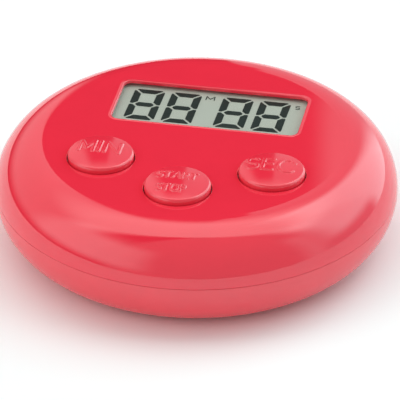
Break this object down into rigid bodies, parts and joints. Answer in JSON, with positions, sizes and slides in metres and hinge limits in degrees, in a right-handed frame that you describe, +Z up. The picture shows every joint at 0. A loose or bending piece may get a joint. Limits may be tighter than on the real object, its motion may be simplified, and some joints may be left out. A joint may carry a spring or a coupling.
{
  "type": "countdown timer",
  "caption": "Round pebble-shaped digital countdown timer with a rectangular display, push buttons on its flat face and a coin-slot battery cover in its base.",
  "frame": {"origin": "centre of the flat base, on the plane that the timer rests on", "axes": "+Z up out of the face, +Y from the buttons to the display, +X to the right of the face"},
  "size_m": [0.08, 0.08, 0.0229],
  "materials": {
    "red_shell": "gloss red moulded plastic",
    "red_base": "gloss red moulded plastic, slightly softer",
    "red_buttons": "satin-gloss red moulded plastic",
    "clear_pane": "clear window pane",
    "lcd_glass": "grey-green reflective LCD",
    "lcd_ink": "near-black LCD segments",
    "reflector_film": "matt reflector film",
    "ivory_plastic": "ivory moulded plastic",
    "zebra_rubber": "pink layered elastomer",
    "circuit_board": "green solder-masked laminate",
    "black_resin": "black epoxy",
    "bright_metal": "nickel-plated steel",
    "chip_parts": "dark ceramic chip parts",
    "coil_wire": "enamelled copper wire",
    "keypad_silicone": "grey silicone rubber",
    "piezo_brass": "brass disc",
    "piezo_white": "silvered ceramic",
    "wire_jacket": "red wire jacket",
    "spring_brass": "plated spring bronze",
    "magnet_nickel": "nickel-plated magnet",
    "screw_steel": "zinc-plated steel"
  },
  "bodies": {
    "housing": {"top_housing": "red_shell", "bottom_housing": "red_base", "display_pane": "clear_pane", "lcd_front_glass": "lcd_glass", "lcd_segments": "lcd_ink", "lcd_rear_glass": "lcd_glass", "lcd_reflector": "reflector_film", "display_frame": "ivory_plastic", "zebra_strip": "zebra_rubber", "main_board": "circuit_board", "chip_blob": "black_resin", "quartz_crystal": "bright_metal", "small_parts": "chip_parts", "buzzer_coil": "coil_wire", "keypad_mat": "keypad_silicone", "dome_min": "keypad_silicone", "dome_start_stop": "keypad_silicone", "dome_sec": "keypad_silicone", "piezo_disc": "piezo_brass", "piezo_ceramic": "piezo_white", "buzzer_wires": "wire_jacket", "coin_cell": "bright_metal", "negative_leaf": "spring_brass", "positive_leaf": "spring_brass", "magnets": "magnet_nickel", "case_screws": "screw_steel", "board_screws": "screw_steel"},
    "min_button": {"min_button": "red_buttons"},
    "start_stop_button": {"start_stop_button": "red_buttons"},
    "sec_button": {"sec_button": "red_buttons"},
    "battery_cover": {"battery_cover": "red_base"}
  },
  "joints": [
    {"name": "min_press", "type": "slide", "parent": "housing", "child": "min_button", "axis": [0, 0, -1], "range_m": [0, 0.001], "stiffness_N_per_m": 1000, "springref_m": -0.0003, "deforming": ["dome_min"]},
    {"name": "start_stop_press", "type": "slide", "parent": "housing", "child": "start_stop_button", "axis": [0, 0, -1], "range_m": [0, 0.001], "stiffness_N_per_m": 1000, "springref_m": -0.0003, "deforming": ["dome_start_stop"]},
    {"name": "sec_press", "type": "slide", "parent": "housing", "child": "sec_button", "axis": [0, 0, -1], "range_m": [0, 0.001], "stiffness_N_per_m": 1000, "springref_m": -0.0003, "deforming": ["dome_sec"]},
    {"name": "cover_turn", "type": "hinge", "parent": "housing", "child": "battery_cover", "pos_m": [0, 0.0055, 0], "axis": [0, 0, -1], "range_deg": [0, 45]}
  ]
}
